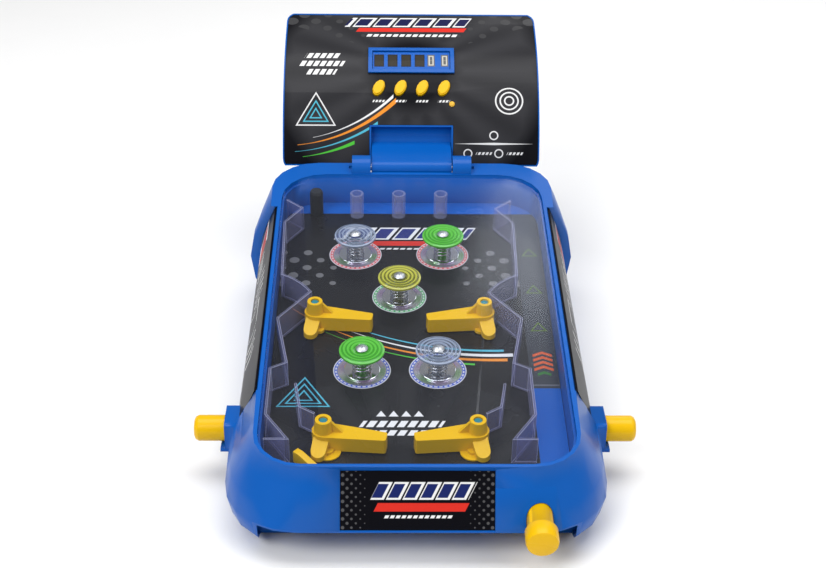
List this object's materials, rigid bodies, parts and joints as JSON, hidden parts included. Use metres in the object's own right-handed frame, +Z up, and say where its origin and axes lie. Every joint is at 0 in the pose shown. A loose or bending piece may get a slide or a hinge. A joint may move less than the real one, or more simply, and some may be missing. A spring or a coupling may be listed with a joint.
{
  "type": "tabletop pinball game",
  "caption": "Sloping tabletop pinball toy with a clear cover, sprung bumpers, side-button flippers, a spring plunger and a fold-down electronic scoreboard.",
  "frame": {"origin": "middle of the whole object's footprint, on the ground under the feet", "axes": "+Z up, -Y toward the player, +X to the player's right; the playfield rises 6.5 degrees toward +Y"},
  "size_m": [0.282, 0.4837, 0.1722],
  "materials": {
    "blue_plastic": "moulded bright blue plastic with a smooth satin shine",
    "black_plastic": "black printed plastic with a gloss laminate",
    "yellow_plastic": "moulded yellow plastic, glossy",
    "clear_plastic": "clear moulded plastic",
    "grey_plastic": "dark grey moulded plastic",
    "spring_steel": "bright drawn wire and pin stock",
    "chrome_trim": "mirror-bright metal",
    "pale_cap_plastic": "pale blue see-through moulded plastic",
    "green_cap_plastic": "green see-through moulded plastic",
    "yellow_cap_plastic": "yellow see-through moulded plastic",
    "cell_case": "plain dark sleeve on a steel can",
    "display_window": "dark smoked window over lit digits",
    "lamp_plastic": "small amber lamp lens",
    "board_laminate": "green circuit board laminate"
  },
  "bodies": {
    "table": {"top_shell": "blue_plastic", "base_plate": "blue_plastic", "front_label": "black_plastic", "clear_cover": "clear_plastic", "playfield": "black_plastic", "dark_post": "grey_plastic", "drain_deflector": "yellow_plastic", "lane_post_1": "clear_plastic", "lane_post_2": "clear_plastic", "lane_post_3": "clear_plastic", "left_side_label": "black_plastic", "right_side_label": "black_plastic", "left_side_guide": "clear_plastic", "right_side_guide": "clear_plastic", "left_inlane_guide": "clear_plastic", "right_inlane_guide": "clear_plastic", "left_return_spring": "spring_steel", "right_return_spring": "spring_steel", "plunger_spring": "spring_steel", "bumper_plate_1": "chrome_trim", "bumper_spring_1": "spring_steel", "bumper_cap_1": "pale_cap_plastic", "bumper_plate_2": "chrome_trim", "bumper_spring_2": "spring_steel", "bumper_cap_2": "green_cap_plastic", "bumper_plate_3": "chrome_trim", "bumper_spring_3": "spring_steel", "bumper_cap_3": "yellow_cap_plastic", "bumper_plate_4": "chrome_trim", "bumper_spring_4": "spring_steel", "bumper_cap_4": "green_cap_plastic", "bumper_plate_5": "chrome_trim", "bumper_spring_5": "spring_steel", "bumper_cap_5": "pale_cap_plastic", "battery_door": "blue_plastic", "battery_1": "cell_case", "battery_2": "cell_case", "speaker": "grey_plastic", "hinge_pin": "spring_steel"},
    "left_button": {"left_flipper_button": "yellow_plastic", "left_link_bar": "grey_plastic"},
    "right_button": {"right_flipper_button": "yellow_plastic", "right_link_bar": "grey_plastic"},
    "flipper_lower_left": {"lower_left_flipper": "yellow_plastic"},
    "flipper_lower_right": {"lower_right_flipper": "yellow_plastic"},
    "flipper_upper_left": {"upper_left_flipper": "yellow_plastic"},
    "flipper_upper_right": {"upper_right_flipper": "yellow_plastic"},
    "plunger": {"plunger": "yellow_plastic"},
    "ball": {"steel_ball": "chrome_trim"},
    "switch": {"power_switch": "black_plastic"},
    "scoreboard": {"head_shell": "blue_plastic", "head_face": "black_plastic", "display_bezel": "blue_plastic", "digit_display": "display_window", "lamp_lens": "lamp_plastic", "circuit_board": "board_laminate"},
    "score_key_1": {"score_button_1": "yellow_plastic"},
    "score_key_2": {"score_button_2": "yellow_plastic"},
    "score_key_3": {"score_button_3": "yellow_plastic"},
    "score_key_4": {"score_button_4": "yellow_plastic"}
  },
  "joints": [
    {"name": "left_button_press", "type": "slide", "parent": "table", "child": "left_button", "axis": [1, 0, 0], "range_m": [0, 0.005], "stiffness_N_per_m": 250, "springref_m": -0.004, "deforming": ["left_return_spring"]},
    {"name": "right_button_press", "type": "slide", "parent": "table", "child": "right_button", "axis": [-1, 0, 0], "range_m": [0, 0.005], "stiffness_N_per_m": 250, "springref_m": -0.004, "deforming": ["right_return_spring"]},
    {"name": "lower_left_flip", "type": "hinge", "parent": "table", "child": "flipper_lower_left", "pos_m": [-0.0574, -0.15856, 0.05128], "axis": [0, -0.1132, 0.9936], "range_deg": [0, 45]},
    {"name": "lower_right_flip", "type": "hinge", "parent": "table", "child": "flipper_lower_right", "pos_m": [0.0378, -0.15856, 0.05128], "axis": [0, 0.1132, -0.9936], "range_deg": [0, 45]},
    {"name": "upper_left_flip", "type": "hinge", "parent": "table", "child": "flipper_upper_left", "pos_m": [-0.0673, -0.03675, 0.06516], "axis": [0, -0.1132, 0.9936], "range_deg": [0, 45]},
    {"name": "upper_right_flip", "type": "hinge", "parent": "table", "child": "flipper_upper_right", "pos_m": [0.0477, -0.03675, 0.06516], "axis": [0, 0.1132, -0.9936], "range_deg": [0, 45]},
    {"name": "plunger_pull", "type": "slide", "parent": "table", "child": "plunger", "axis": [0, -0.9936, -0.1132], "range_m": [0, 0.011], "stiffness_N_per_m": 200, "springref_m": -0.005, "deforming": ["plunger_spring"]},
    {"name": "ball_roll", "type": "slide", "parent": "table", "child": "ball", "axis": [0, 0.9936, 0.1132], "range_m": [0, 0.24]},
    {"name": "power_slide", "type": "slide", "parent": "table", "child": "switch", "axis": [1, 0, 0], "range_m": [0, 0.004]},
    {"name": "scoreboard_fold", "type": "hinge", "parent": "table", "child": "scoreboard", "pos_m": [0, 0.12767, 0.0977], "axis": [1, 0, 0], "range_deg": [0, 112]},
    {"name": "score_press_1", "type": "slide", "parent": "scoreboard", "child": "score_key_1", "axis": [0, 0.6794, -0.7337], "range_m": [0, 0.0012], "stiffness_N_per_m": 400, "springref_m": -0.001},
    {"name": "score_press_2", "type": "slide", "parent": "scoreboard", "child": "score_key_2", "axis": [0, 0.6794, -0.7337], "range_m": [0, 0.0012], "stiffness_N_per_m": 400, "springref_m": -0.001},
    {"name": "score_press_3", "type": "slide", "parent": "scoreboard", "child": "score_key_3", "axis": [0, 0.6794, -0.7337], "range_m": [0, 0.0012], "stiffness_N_per_m": 400, "springref_m": -0.001},
    {"name": "score_press_4", "type": "slide", "parent": "scoreboard", "child": "score_key_4", "axis": [0, 0.6794, -0.7337], "range_m": [0, 0.0012], "stiffness_N_per_m": 400, "springref_m": -0.001}
  ],
  "couplings": [
    {"joint": "lower_left_flip", "follows": "left_button_press", "rad_per_m": 157},
    {"joint": "upper_left_flip", "follows": "left_button_press", "rad_per_m": 157},
    {"joint": "lower_right_flip", "follows": "right_button_press", "rad_per_m": 157},
    {"joint": "upper_right_flip", "follows": "right_button_press", "rad_per_m": 157}
  ]
}
